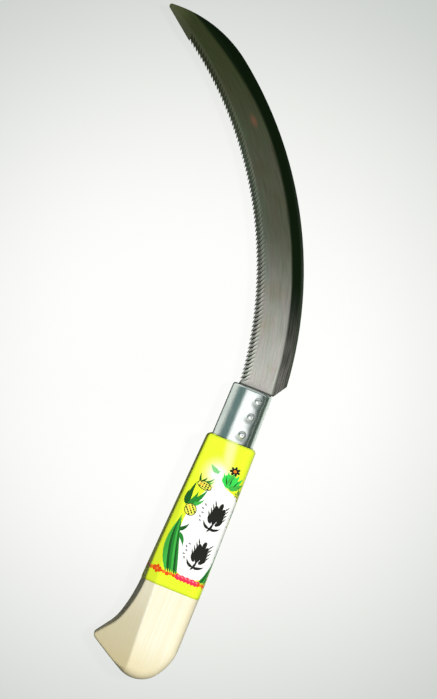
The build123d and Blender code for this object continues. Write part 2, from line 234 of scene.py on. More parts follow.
def blade_material():
    """Ground and brushed steel: pale at the heel and dark olive at the tip, partly its own finish
    and partly painted reflection, and blacker along the back with painted dark reflection.
    """
    s = new_material("brushed_blade_steel")
    x, y, z = s.place()

    # The grain follows the back's curve
    radius = s.distance(x, y, BLADE_CENTRE)
    angle = s.math("ARCTAN2", s.minus(y, BLADE_CENTRE[1]), s.minus(x, BLADE_CENTRE[0]))
    along = s.times(angle, BLADE_RADIUS)
    fine = s.noise(s.stretched((radius, along, z), (3.0, 0.06, 1.0)), 1.0, 3.0, 0.6)
    broad = s.noise(s.stretched((radius, along, z), (0.45, 0.035, 1.0)), 1.0, 2.0)
    blotch = s.noise(s.stretched((x, y, z), (0.06, 0.06, 1.0)), 1.0, 3.0)

    # The flat face, from the heel to the tip: the fall from pale to dark olive is partly the
    # steel's own finish and partly painted reflection
    middle = s.mix(s.ramp(x, -5.0, 98.0), HEEL_STEEL_AND_REFLECTION, MIDDLE_STEEL_AND_REFLECTION)
    face = s.mix(s.ramp(x, 100.0, 185.0), middle, TIP_STEEL_AND_REFLECTION)
    tint = s.mix(s.ramp(broad, 0.35, 0.65), (0.96, 1.02, 0.96), (1.03, 0.985, 1.0))
    face = s.mix(1.0, face, tint, "MULTIPLY")
    # Bluer and lighter towards the toothed side, warmer towards the back, from x 40 on
    across = s.ramp(s.plus(radius, s.times(broad, 5.0)), 211.0, 220.0)
    across_tint = s.mix(across, (1.06, 1.20, 1.26), (1.00, 1.00, 0.93))
    face = s.tinted(s.ramp(x, 40.0, 110.0), face, across_tint)
    tip_shine = s.spot(x, y, TIP, TIP_SHINE_REACH)
    face = s.mix(s.times(tip_shine, 0.6), face, TIP_SHINE)
    face = s.tinted(s.ramp(fine, 0.3, 0.75, 0.0, 0.4), face, (0.45, 0.45, 0.45))
    face = s.tinted(s.ramp(blotch, 0.5, 0.75, 0.0, 0.35), face, (0.9, 0.72, 0.55))

    # The ground band along the back, coloured with painted dark reflection of its bevel and
    # streaked at the heel, and the back's rim
    band_centre, band_radius = circle_through(*BAND_LINE)
    beyond = s.minus(s.distance(x, y, band_centre), band_radius)
    beyond = s.plus(beyond, s.ramp(x, 140.0, 190.0, 0.0, 3.4))
    band_start = s.ramp(x, 60.0, 130.0, 0.0, -0.8)
    in_band = s.ramp(s.plus(beyond, s.times(fine, 0.9)), band_start, 1.5)
    in_band = s.times(in_band, s.minus(1.0, tip_shine))
    band_heel = s.mix(s.ramp(fine, 0.35, 0.65), BAND_HEEL_DARK, BAND_HEEL_LIGHT)
    # painted dark reflection over the band
    color = s.mix(in_band, face, s.mix(s.ramp(x, 2.0, 66.0), band_heel, BAND_PAINTED_DARK_REFLECTION))
    back_rim = s.ramp(radius, BLADE_RADIUS - 2.2, BLADE_RADIUS - 0.4)
    back_rim = s.times(back_rim, s.ramp(x, 150.0, 60.0))
    color = s.mix(s.times(back_rim, 0.8), color, BACK_RIM_STEEL)

    # One rust spot, drawn out along the grain
    rust_x, rust_y = RUST_SPOT[0] - BLADE_CENTRE[0], RUST_SPOT[1] - BLADE_CENTRE[1]
    rust_radius, rust_along = math.hypot(rust_x, rust_y), math.atan2(rust_y, rust_x) * BLADE_RADIUS
    pulled_in = s.plus(s.times(along, RUST_LENGTHENING), rust_along * (1.0 - RUST_LENGTHENING))
    rust = s.spot(radius, pulled_in, (rust_radius, rust_along), RUST_REACH)
    rust = s.times(rust, s.ramp(fine, 0.25, 0.6, 0.5, 1.0))
    color = s.mix(s.times(rust, 0.75), color, RUST_BROWN)

    # The tooth grooves: painted shade on one flank and painted light on the other in each, fading
    # towards the tip
    depth = s.minus(s.distance(x, y, EDGE_CENTRE), EDGE_RADIUS)
    turn = s.math("ARCTAN2", s.minus(x, EDGE_CENTRE[0]), s.minus(EDGE_CENTRE[1], y))
    arc = s.times(s.minus(turn, FIRST_TOOTH_TURN), EDGE_RADIUS)
    tooth = s.math("DIVIDE", s.minus(arc, s.times(depth, GROOVE_LEAN)), TOOTH_PITCH)
    tooth = s.math("FRACT", s.plus(tooth, 1.0))
    # dark marks the flank that gets painted shade, light the flank that gets painted light
    dark = s.math("MAXIMUM", s.ramp(tooth, 0.26, 0.10), s.ramp(tooth, 0.86, 0.95))
    light = s.times(s.ramp(tooth, 0.42, 0.62), s.ramp(tooth, 0.86, 0.78))
    light = s.times(light, s.ramp(x, 20.0, 90.0, 0.9, 0.6))
    marked = s.times(s.ramp(depth, 6.2, 3.0), s.ramp(x, 168.0, 60.0))
    marked = s.times(marked, s.ramp(x, 1.5, 3.0))
    color = s.mix(s.times(marked, s.times(dark, 0.85)), color, GROOVE_PAINTED_SHADE)
    color = s.tinted(s.times(marked, light), color, GROOVE_PAINTED_LIGHT_TINT)
    # painted shade on the tooth points along the edge
    point = s.times(s.ramp(depth, 1.5, 0.4), s.ramp(x, 150.0, 90.0))
    color = s.mix(s.times(point, 0.6), color, POINT_PAINTED_SHADE)
    strip = s.ramp(depth, STRIP_WIDTH + 0.5, STRIP_WIDTH)
    dull = s.times(strip, s.ramp(x, 25.0, 90.0))
    # painted shade dims the tooth strip towards the tip
    color = s.mix(s.times(strip, s.ramp(x, 120.0, 168.0, 0.0, 0.5)), color, STRIP_PAINTED_SHADE)

    # Painted contact shadow where the blade enters the ferrule
    joint_shadow = s.ramp(x, 1.1, 0.4)
    color = s.mix(s.times(joint_shadow, 0.85), color, JOINT_PAINTED_SHADOW)
    height = s.plus(s.times(fine, 0.7), s.times(broad, 0.3))
    return s.finish(
        Base_Color=color,
        Metallic=s.minus(1.0, s.math("MAXIMUM", s.times(rust, 0.7), dull)),
        Specular_IOR_Level=0.15,
        Roughness=s.ramp(fine, 0.2, 0.8, 0.28, 0.44),
        Normal=s.bump(height, 0.35, 0.05),
    )


# ------------------------------------------------------------------ ferrule and rivets
RIVET_CENTRES = ((-5.9, -5.2), (-15.5, -4.5), (-26.7, -3.6))
DENT_RADIUS = 5.0
DENT_DEPTH = 0.32
# painted shade on the ferrule's rear end, next to the film
FERRULE_REAR_SHADE = (-31.3, -32.2)  # x from which the plating darkens, up to the film's edge


def ferrule_material():
    """Bright plated steel, faintly dented round the rivets and scuffed."""
    s = new_material("bright_plating")
    x, y, z = s.place()
    scuff = s.noise(s.stretched((x, y, z), (0.25, 2.2, 2.2)), 1.0, 4.0)
    cloud = s.noise(s.combine(x, y, z), 0.12, 2.0)
    height = s.times(cloud, 0.10)
    for centre in RIVET_CENTRES:
        dent = s.spot(x, y, centre, DENT_RADIUS)
        height = s.minus(height, s.times(dent, DENT_DEPTH))
    height = s.plus(height, s.times(scuff, 0.006))
    color = s.mix(s.ramp(cloud, 0.3, 0.7), (0.74, 0.79, 0.78), (0.83, 0.86, 0.85))
    # painted shade at the ferrule's rear, next to the film
    color = s.mix(s.ramp(x, *FERRULE_REAR_SHADE, 0.0, 0.7), color, (0.12, 0.13, 0.10))
    return s.finish(
        Base_Color=color,
        Metallic=1.0,
        Roughness=s.ramp(scuff, 0.35, 0.75, 0.16, 0.28),
        Normal=s.bump(height, 1.0, 1.0),
    )


def rivet_material():
    """Steel formed under a hammer: bright, with small flats."""
    s = new_material("hammered_rivet_steel")
    x, y, z = s.place()
    flats = s.noise(s.combine(x, y, z), 0.9, 1.0)
    return s.finish(
        Base_Color=s.mix(s.ramp(flats, 0.35, 0.65), (0.72, 0.75, 0.74), (0.86, 0.88, 0.88)),
        Metallic=1.0,
        Roughness=s.ramp(flats, 0.3, 0.7, 0.16, 0.3),
        Normal=s.bump(flats, 0.5, 0.3),
    )


# ------------------------------------------------------------------ wood
END_GRAIN_X = -168.0
CHEEK_CREST = ((-170.0, 7.9), (-122.0, 10.6))  # (x, y) where the flat top meets the cut cheek
CREST_SLOPE = (CHEEK_CREST[1][1] - CHEEK_CREST[0][1]) / (CHEEK_CREST[1][0] - CHEEK_CREST[0][0])


def wood_material():
    """Pale planed wood, unvarnished: faint grain along the handle, warmer and darker on the cut
    butt partly with painted shade, and painted shade on the cut cheek and along the rounded edge on
    the back's side.
    """
    s = new_material("pale_planed_wood")
    x, y, z = s.place()
    bend = s.times(s.noise(s.stretched((x, y, z), (0.02, 1.0, 1.0)), 0.05, 2.0), 14.0)
    rings = s.noise(s.combine(s.times(x, 0.010), s.plus(y, bend), z), 0.55, 3.0, 0.55)
    fibre = s.noise(s.stretched((x, y, z), (0.07, 3.2, 3.2)), 1.0, 4.0, 0.65)
    cloud = s.noise(s.combine(x, y, z), 0.045, 3.0)
    pores = s.ramp(s.noise(s.stretched((x, y, z), (0.35, 4.0, 4.0)), 1.0, 1.0), 0.66, 0.78)

    color = s.mix(s.ramp(rings, 0.35, 0.68), (0.865, 0.835, 0.675), (0.845, 0.79, 0.590))
    color = s.mix(s.ramp(fibre, 0.4, 0.85, 0.0, 0.3), color, (0.76, 0.68, 0.44))
    color = s.mix(s.ramp(cloud, 0.45, 0.75, 0.0, 0.35), color, (0.80, 0.73, 0.48))
    color = s.mix(s.times(pores, 0.2), color, (0.47, 0.36, 0.19))
    # Warmer and darker towards the butt: partly the cut end's own colour, partly painted shade over
    # its rounding
    butt = s.ramp(s.plus(x, s.times(cloud, 8.0)), END_GRAIN_X + 19.0, END_GRAIN_X - 5.0)
    color = s.mix(s.times(butt, 0.6), color, (0.66, 0.55, 0.28))
    # Painted shade on the cut cheek, deeper towards the butt, where it turns away from the light
    crest = s.plus(s.times(s.minus(x, CHEEK_CREST[1][0]), CREST_SLOPE), CHEEK_CREST[1][1])
    cheek = s.ramp(s.minus(y, crest), 0.0, 1.2)
    cheek = s.times(cheek, s.ramp(x, -124.0, -155.0, 0.15, 0.55))
    color = s.mix(cheek, color, (0.55, 0.465, 0.245))
    # painted shade along the rounded edge on the back's side, below y -9
    color = s.mix(s.times(s.ramp(y, -9.0, -14.0), 0.5), color, (0.74, 0.655, 0.42))
    height = s.plus(s.times(fibre, 0.5), s.times(pores, -0.6))
    return s.finish(
        Base_Color=color,
        Roughness=s.ramp(fibre, 0.2, 0.8, 0.55, 0.72),
        Specular_IOR_Level=0.35,
        Normal=s.bump(height, 0.35, 0.12),
    )


dress("blade", blade_material())
dress("ferrule", ferrule_material())
dress("rivets", rivet_material())
dress("handle", wood_material())

# ------------------------------------------------------------------ printed film: its surface
FILM_MM = 0.25
FILM_REAR_X = -123.5
SHOULDER_X = -32.5
GRIP_END_X = -124.0
HALF_THICKNESS = 14.4 + FILM_MM
SHOULDER_ROUND = 2.4 + FILM_MM
FERRULE_RADIUS = 12.65
FRONT_WIDTHS = (14.9, 19.4)  # of the wood from its axis to the toothed side, at shoulder and flare
BACK_WIDTHS = (-14.9, -16.4)
CHEEK_SLOPE = math.tan(math.radians(22.0))
ROUND_STEPS = 9
CREST_ROUND = 2.5
FRONT_ROUND = 0.7
BACK_ROUND = 6.0 + FILM_MM
SIDE_ROUND = 10.0 + FILM_MM
FLAP = 4.0  # the film's length down the front face, from the rounded shoulder to the ferrule
BEND = SHOULDER_ROUND * math.pi / 2
STRAIGHT_END = SHOULDER_X + FILM_MM - SHOULDER_ROUND
FILM_FRONT = STRAIGHT_END + BEND + FLAP
UNROLLED = 100.0  # width of the flat drawing that is wrapped once round the grip


def between(x, at_shoulder, at_flare):
    """A width of the grip that changes evenly from the shoulder to the flare."""
    share = (SHOULDER_X - x) / (SHOULDER_X - GRIP_END_X)
    return at_shoulder + (at_flare - at_shoulder) * share


def grip_corners(x):
    """The film's section at x as corners (y, z, rounding), clockwise seen from the blade."""
    front, back = between(x, *FRONT_WIDTHS) + FILM_MM, between(x, *BACK_WIDTHS) - FILM_MM
    share = min((SHOULDER_X - x) / (SHOULDER_X - GRIP_END_X), 1.0)
    lean = 0.9 + 0.7 * share + 1.8 * share ** 6
    top = HALF_THICKNESS
    (x0, y0), (x1, y1) = CHEEK_CREST
    crest = min(y0 + (y1 - y0) * (x - x0) / (x1 - x0), front - lean - 1.3)
    side_slope = lean / top
    drop = (front - lean - crest) * CHEEK_SLOPE / (1 - side_slope * CHEEK_SLOPE)
    shoulder = (front - lean + drop * side_slope, top - drop, FRONT_ROUND)
    crest_round = CREST_ROUND if crest < front - lean - 2.0 else CREST_ROUND * 2
    upper = [(crest, top, crest_round), shoulder]
    back_top = (back + 1.2, top, BACK_ROUND)
    lower = [(y, -z, rounding) for y, z, rounding in reversed([back_top] + upper)]
    return upper + [(front, 0.0, SIDE_ROUND)] + lower + [(back, 0.0, SIDE_ROUND), back_top]


sections = {}


def section(x):
    """The rounded section at x: lengths from its top middle, and each (place, normal) there."""
    key = round(x, 3)
    if key in sections:
        return sections[key]
    corners = grip_corners(x)
    path = [(Vector((0.0, HALF_THICKNESS)), Vector((0.0, 1.0)))]
    for i, (y, z, rounding) in enumerate(corners):
        here = Vector((y, z))
        run_in = (here - Vector(corners[i - 1][:2])).normalized()
        run_out = (Vector(corners[(i + 1) % len(corners)][:2]) - here).normalized()
        turn = run_in.angle(run_out)
        start = here - run_in * rounding * math.tan(turn / 2)
        for step in range(ROUND_STEPS + 1):
            part = turn * step / ROUND_STEPS
            out = Vector((-run_in.y, run_in.x))
            normal = out * math.cos(part) + run_in * math.sin(part)
            path.append((start + (normal - out) * rounding, normal))
    path.append((Vector((0.0, HALF_THICKNESS)), Vector((0.0, 1.0))))
    lengths = [0.0]
    for (a, _), (b, _) in zip(path, path[1:]):
        lengths.append(lengths[-1] + (b - a).length)
    sections[key] = (lengths, path)
    return sections[key]


def perimeter(x):
    return section(max(FILM_REAR_X, min(x, STRAIGHT_END)))[0][-1]


def on_section(x, s):
    """Place and normal, as (y, z) pairs, at length s from the top middle, positive towards +Y."""
    lengths, path = section(x)
    s %= lengths[-1]
    i = bisect.bisect_right(lengths, s) - 1
    i = min(i, len(path) - 2)
    span = lengths[i + 1] - lengths[i]
    share = (s - lengths[i]) / span if span > 1e-9 else 0.0
    place = path[i][0].lerp(path[i + 1][0], share)
    return place, path[i][1].lerp(path[i + 1][1], share).normalized()


def outline_edges(x):
    """Each edge of the grip's outline at x, as a (y, z) point on it and its outward normal."""
    edges = []
    corners = grip_corners(x)
    for (y0, z0, _), (y1, z1, _) in zip(corners, corners[1:] + corners[:1]):
        run = Vector((y1 - y0, z1 - z0)).normalized()
        edges.append((Vector((y0, z0)), Vector((-run.y, run.x))))
    return edges


SHOULDER_EDGES = outline_edges(STRAIGHT_END)


def within(place, moved):
    """The place, kept inside the shoulder's outline moved inward, so that corners don't cross."""
    for _ in range(2):
        for corner, out in SHOULDER_EDGES:
            excess = (place - corner).dot(out) + moved
            if excess > 0.0:
                place = place - out * excess
    return place


def wrap(flat, t):
    """The film's point at flat (UNROLLED wide) round the grip and t along it."""
    x = min(t, STRAIGHT_END)
    place, normal = on_section(x, flat / UNROLLED * perimeter(x))
    angle = min(max(t - STRAIGHT_END, 0.0) / BEND, 1.0) * math.pi / 2
    x += SHOULDER_ROUND * math.sin(angle)
    moved = SHOULDER_ROUND - SHOULDER_ROUND * math.cos(angle)
    place = place - normal * moved
    if angle > 0.0:
        place = within(place, moved)
    flap = max(t - STRAIGHT_END - BEND, 0.0) / FLAP
    if flap > 0.0:
        place = place.lerp(place.normalized() * FERRULE_RADIUS, flap)
    return Vector((x, place.x, place.y))


# ------------------------------------------------------------------ printed film: its artwork
# The drawing is in (x, s): x along the handle, s round it from the top middle, both in millimetres.
drawing = []  # (ink, outline), painted in this order
LEAF_STEPS = 10
LEAF_INKS = ("ink_leaf_deep", "ink_leaf", "ink_leaf_light")


def draw(ink, outline):
    drawing.append((ink, outline))


def smooth_loop(points, steps=6):
    """A closed curve through these points."""
    loop = []
    count = len(points)
    for i in range(count):
        a, b, c, d = (Vector(points[(i + k) % count]) for k in (-1, 0, 1, 2))
        for step in range(steps):
            t = step / steps
            loop.append(tuple(0.5 * (2 * b + (c - a) * t + (2 * a - 5 * b + 4 * c - d) * t * t
                                     + (3 * b - a - 3 * c + d) * t ** 3)))
    return loop


def leaf(ink, base, tip, width, bend=0.0, blunt=0.55):
    """A pointed leaf from base to tip, bowed sideways by bend."""
    base, tip = Vector(base), Vector(tip)
    run = tip - base
    side = Vector((-run.y, run.x)).normalized()
    steps = [i / LEAF_STEPS for i in range(LEAF_STEPS + 1)]
    spine = [base + run * t + side * bend * 4 * t * (1 - t) for t in steps]
    half = [width / 2 * math.sin(math.pi * min(1.0, t ** blunt)) for t in steps]
    one = [tuple(p + side * h) for p, h in zip(spine, half)]
    other = [tuple(p - side * h) for p, h in zip(spine[1:-1], half[1:-1])]
    draw(ink, one + other[::-1])


def turned(centre, angle):
    """A function that puts a point drawn about (0, 0) at the centre, turned by angle."""
    c, n = math.cos(math.radians(angle)), math.sin(math.radians(angle))
    return lambda a, b: (centre[0] + a * c - b * n, centre[1] + a * n + b * c)


def oval(ink, centre, length, width, angle=0.0, points=18):
    """An oval whose long axis is turned by angle from the handle's axis."""
    at = turned(centre, angle)
    turns = [2 * math.pi * i / points for i in range(points)]
    draw(ink, [at(length / 2 * math.cos(t), width / 2 * math.sin(t)) for t in turns])


def petals(ink, centre, count, reach, length, width, points):
    """Ovals standing round a centre, each pointing away from it; reach is (along x, along s)."""
    for i in range(count):
        a = 2 * math.pi * i / count
        place = (centre[0] + reach[0] * math.cos(a), centre[1] + reach[1] * math.sin(a))
        oval(ink, place, length, width, math.degrees(a), points)


def cob(centre, length, width, angle):
    """A ripe cob: yellow, outlined dark, with rows of dark kernels."""
    oval("ink_black", centre, length + 0.9, width + 0.9, angle)
    oval("ink_yellow", centre, length, width, angle)
    at = turned(centre, angle)
    for row in (-0.27, 0.0, 0.27):
        for place in (-0.3, -0.1, 0.1, 0.3):
            ink = "ink_orange" if row == 0.0 and place > 0 else "ink_black"
            oval(ink, at(place * length, row * width), 1.25, 0.85, angle, 8)


def grain_ear(centre, length, angle):
    """A bold black ear of grain: a stem with paired grains and a beard."""
    at = turned(centre, angle)
    leaf("ink_black", at(-length * 0.5, 0.0), at(length * 0.55, 0.0), 3.4, 0.2, 0.8)
    leaf("ink_black", at(-length * 0.9, 1.2), at(-length * 0.2, 0.0), 1.4, -0.6, 0.7)
    for pair in range(4):
        a = length * (-0.26 + 0.2 * pair)
        for side in (-1, 1):
            spread = 2.9 - 0.32 * pair
            oval("ink_black", at(a, side * spread), 5.2 - 0.4 * pair, 2.5, angle + side * 32)
            beard = at(a + 1.4, side * (spread + 1.0)), at(a + 4.6, side * (spread + 3.0))
            leaf("ink_black", *beard, 0.8)
    oval("ink_black", at(length * 0.52, 0.0), 4.4, 2.4, angle)
    for side in (-1, 1):
        leaf("ink_black", at(-length * 0.72, 0.7), at(-length * 0.42, side * 5.8), 1.7, side * 0.9)


def garland(side):
    """Maize leaves and two cobs down one side of the panel: 1 is the toothed side, -1 the back."""
    def at(x, s):
        return (x, PANEL_MIDDLE + side * s - spread_back(x, side))

    def leaves(*rows):
        for i, (base, tip, width, bend) in enumerate(rows):
            leaf(LEAF_INKS[i % 3], at(*base), at(*tip), width, bend * side)

    leaves(((-60.5, 13.2), (-54.6, 14.8), 1.3, 0.3), ((-59.8, 12.0), (-55.0, 6.2), 1.3, -0.9),
           ((-60.5, 11.5), (-56.9, 5.8), 1.2, -0.8), ((-59.5, 13.0), (-56.0, 10.4), 1.2, -0.5))
    cob(at(-61.2, 10.4), 8.0, 4.0, side * 82)
    leaves(((-74.5, 15.6), (-60.2, 15.0), 2.6, 0.9), ((-74.0, 15.0), (-62.8, 7.6), 2.9, -1.0),
           ((-74.0, 14.4), (-68.6, 7.2), 2.4, -1.0), ((-75.0, 16.2), (-66.0, 17.4), 2.2, 0.9),
           ((-75.0, 15.0), (-65.5, 12.2), 2.8, -0.6), ((-74.5, 14.0), (-71.5, 9.6), 1.8, -0.6))
    cob(at(-76.8, 12.8), 6.4, 6.2, side * 40)
    leaves(((-90.0, 15.6), (-84.2, 10.2), 2.3, -0.9), ((-91.0, 14.6), (-98.2, 9.2), 2.4, 1.0),
           ((-91.5, 16.5), (-103.6, 18.9), 1.8, 0.9), ((-85.0, 16.6), (-95.0, 18.6), 1.5, 0.8))
    for i in range(6):
        spread = (i - 2.5) / 2.5
        ink = ("ink_leaf", "ink_leaf_deep", "ink_leaf_light")[i % 3]
        foot = at(-115.2, 9.3 + 3.1 * spread)
        top = at(-79.8 - abs(spread) * 5.0, 16.0 + 0.9 * spread)
        leaf(ink, foot, top, 2.9, side * (2.4 + 1.0 * spread), 0.78)


def spread_back(x, side):
    """How far the drawing stands further round at x on the back's side."""
    share = min(max((x + 112.0) / 14.0, 0.0), 1.0) * min(max((-58.0 - x) / 4.0, 0.4), 1.0)
    return BACK_SPREAD * share if side < 0 else 0.0


PANEL_MIDDLE = -5.0
PANEL = ((-58.6, 0.0), (-60.0, 4.5), (-63.5, 8.4), (-70.0, 11.6), (-77.0, 13.6), (-86.0, 14.4),
         (-94.0, 13.4), (-101.7, 12.2), (-108.0, 10.2), (-112.6, 6.4), (-114.4, 0.0))
BACK_SPREAD = 5.5  # how much wider the drawing stands on the back's side, above its foot
LOOSE_SEEDS = ((-71.0, 5.6), (-73.4, 6.4), (-75.8, 5.8), (-78.2, 6.4), (-80.4, 5.6),
               (-95.0, 5.8), (-97.0, 7.0), (-99.2, 6.2), (-101.4, 7.0), (-103.4, 6.0))
SPROUT_ROOT = (-57.8, -7.6)
SPROUT = ((-50.2, -2.2, 3.0), (-48.8, -4.6, 3.8), (-48.6, -8.0, 4.2), (-48.8, -11.4, 4.0),
          (-49.6, -15.0, 3.6), (-52.8, -17.4, 3.2))  # each leaf's tip (x, s) and width
FLOWER = (-47.4, -7.8)
TUFT = (-59.8, -14.4)
GRAIN_EARS = ((-75.2, -7.6), (-98.9, -6.9))
GRAIN_EAR_LENGTH = 11.5


def draw_front():
    """The side that shows from above: sprout, flower, panel, garlands and two ears of grain."""
    oval("ink_leaf_bright", (-53.2, -6.6), 6.2, 8.6, 20)
    for i, (x, s, width) in enumerate(SPROUT):
        ink = "ink_leaf_light" if i % 3 == 2 else "ink_leaf_bright"
        leaf(ink, SPROUT_ROOT, (x, s), width, 0.5 - 0.2 * i)
    for s in (-4.4, -8.2, -12.8):
        leaf("ink_leaf_deep", (-56.2, (s - 7.6) / 2), (-51.2, s), 0.7, 0.2)
    petals("ink_black", FLOWER, 7, (1.5, 1.9), 2.7, 1.5, 12)
    oval("ink_orange", FLOWER, 1.7, 2.0, 0, 12)
    leaf("ink_leaf_pale", (-51.6, 1.0), (-48.2, 6.4), 2.8, 0.4)
    leaf("ink_leaf_pale", (-52.4, 1.4), (-50.0, -0.2), 1.4, 0.3)
    outline = [(x, PANEL_MIDDLE + s) for x, s in PANEL]
    outline += [(x, PANEL_MIDDLE - s - spread_back(x, -1) * min(s / 8.0, 1.0))
                for x, s in PANEL[-2:0:-1]]
    draw("ink_white", smooth_loop(outline))
    for side in (1, -1):
        garland(side)
    for place in GRAIN_EARS:
        grain_ear(place, GRAIN_EAR_LENGTH, -6)
    for i, (x, s) in enumerate(LOOSE_SEEDS):
        oval("ink_grey", (x, PANEL_MIDDLE + s), 1.7, 0.85, 35 + 25 * (i % 3), 10)
        oval("ink_grey", (x + 1.6, PANEL_MIDDLE - s - 6.2), 1.7, 0.85, 55 - 25 * (i % 3), 10)
    petals("ink_leaf_dull", TUFT, 5, (1.2, 1.2), 1.8, 0.9, 8)


BEADS_EACH_WAY = 25
BLOSSOM = (-114.9, 13.0)


def draw_band():
    """The red band near the film's rear end: a ribbon under the panel, and beads round the rest."""
    top, bottom = [], []
    for i in range(23):
        s = PANEL_MIDDLE + 6.6 - i * 0.65
        top.append((-113.6 + 0.25 * math.sin(i * 1.3), s))
        bottom.append((-116.7 + 0.4 * math.sin(i * 1.9), s))
    draw("ink_red", top + bottom[::-1])
    for i in range(6):
        s = PANEL_MIDDLE + 5.6 - i * 2.2
        leaf("ink_pink", (-114.0, s), (-115.2, s - 1.9), 0.8)
    for side in (1, -1):
        for i in range(BEADS_EACH_WAY):
            s = PANEL_MIDDLE + side * (7.6 + 2.0 * i)
            size = 1.9 + 0.5 * (i % 3 == 2) + 1.0 * (i % 7 == 6)
            x = -115.3 + 0.35 * math.sin(2.2 * i)
            oval("ink_orange" if i % 2 else "ink_vermilion", (x, s), size, 2.5, 20 * (i % 4), 10)
    petals("ink_vermilion", BLOSSOM, 6, (1.4, 1.7), 2.3, 1.7, 10)
    oval("ink_orange", BLOSSOM, 1.6, 1.8)


def draw_underside():
    """The side below: three cobs in a fan of leaves on the plain ground."""
    middle = PANEL_MIDDLE - 52.0
    for i in range(9):
        a = math.radians(-64 + 16 * i)
        ink = ("ink_leaf_deep", "ink_leaf", "ink_leaf_bright")[i % 3]
        top = (-104.0 + 26 * math.cos(a), middle + 11 * math.sin(a))
        leaf(ink, (-104.0, middle), top, 3.4, 0.3 * (i - 4))
    for i, s in enumerate((-5.5, 0.0, 5.5)):
        cob((-86.0 + 3.5 * (i == 1), middle + s), 9.0, 4.4, 6.0 * (i - 1))


# ------------------------------------------------------------------ printed film: inks and mesh
INKS = {
    "ink_white": (0.90, 0.91, 0.88),
    "ink_black": (0.012, 0.012, 0.010),
    "ink_grey": (0.20, 0.20, 0.21),
    "ink_yellow": (0.84, 0.84, 0.10),
    "ink_orange": (0.86, 0.22, 0.02),
    "ink_vermilion": (0.78, 0.085, 0.012),
    "ink_red": (0.85, 0.035, 0.085),
    "ink_pink": (0.90, 0.22, 0.26),
    "ink_leaf_deep": (0.010, 0.085, 0.014),
    "ink_leaf": (0.020, 0.22, 0.030),
    "ink_leaf_light": (0.055, 0.42, 0.060),
    "ink_leaf_bright": (0.045, 0.62, 0.085),
    "ink_leaf_pale": (0.22, 0.62, 0.22),
    "ink_leaf_dull": (0.20, 0.24, 0.03),
}
GROUND = (0.735, 0.875, 0.034)
# the colours of the ground's halo, partly print and partly painted glare, and of its painted
# highlight streak
GROUND_GLARE_AND_HALO = (0.90, 0.92, 0.55)
GROUND_PALEST = (0.90, 0.92, 0.86)


def halo_and_painted_glare(s, x, y, z, color):
    """The ground's pale halo above the panel, partly print and partly painted glare, and a painted
    highlight streak, on the upper side only.
    """
    lean = s.times(s.plus(x, 40.0), -0.14)
    off_streak = s.math("ABSOLUTE", s.plus(s.plus(y, 1.4), lean))
    top = s.ramp(z, 8.0, 13.0)
    # painted highlight streak along the top
    streak = s.times(s.ramp(off_streak, 5.0, 0.4, 0.0, 0.5), s.ramp(x, -58.0, -44.0))
    halo = s.math("MAXIMUM", s.times(s.spot(x, y, (-52.5, 0.8), 12.0), 1.1),
                  s.times(s.spot(x, y, (-58.0, -2.5), 8.0), 1.3))
    glow = s.times(s.math("MINIMUM", s.math("MAXIMUM", streak, halo), 1.0), top)
    return s.mix(glow, color, s.mix(s.ramp(halo, 0.3, 1.0), GROUND_GLARE_AND_HALO, GROUND_PALEST))


def ink_material(name, color):
    """One ink under clear film, very slightly uneven."""
    s = new_material(name)
    x, y, z = s.place()
    cloud = s.noise(s.combine(x, y, z), 0.12, 2.0)
    ripple = s.noise(s.stretched((x, y, z), (0.5, 1.0, 1.0)), 0.35, 2.0)
    thinner = tuple(part * 0.72 for part in color)
    uneven = s.mix(s.ramp(cloud, 0.3, 0.7, 0.0, 0.12), color, thinner)
    if name == "ink_ground":
        # the ground also gets a halo that is partly painted glare, and a painted highlight streak
        uneven = halo_and_painted_glare(s, x, y, z, uneven)
    return s.finish(
        Base_Color=uneven,
        Roughness=s.ramp(cloud, 0.3, 0.7, 0.34, 0.46),
        Specular_IOR_Level=0.12,
        Normal=s.bump(ripple, 0.18, 0.25),
    )


GRID_ROUND = 132  # steps of the mesh round the grip
GRID_ALONG = 60  # and along its straight part
GRID_BEND = 7  # and over the rounded shoulder
CDT_CLOSE = 1e-4  # points nearer than this are one point
WELD_MM = 0.002
FILM_THICKNESS_MM = 0.24  # just under the CAD film's, so that its inside clears the wood


def clip(ring, half):
    """The part of a ring between -half and half of its first coordinate."""
    for sign in (1, -1):
        kept = []
        for a, b in zip(ring, ring[1:] + ring[:1]):
            inside_a, inside_b = a[0] * sign <= half, b[0] * sign <= half
            if inside_a:
                kept.append(a)
            if inside_a != inside_b:
                share = (sign * half - a[0]) / (b[0] - a[0])
                kept.append((sign * half, a[1] + (b[1] - a[1]) * share))
        ring = kept
        if not ring:
            break
    return ring


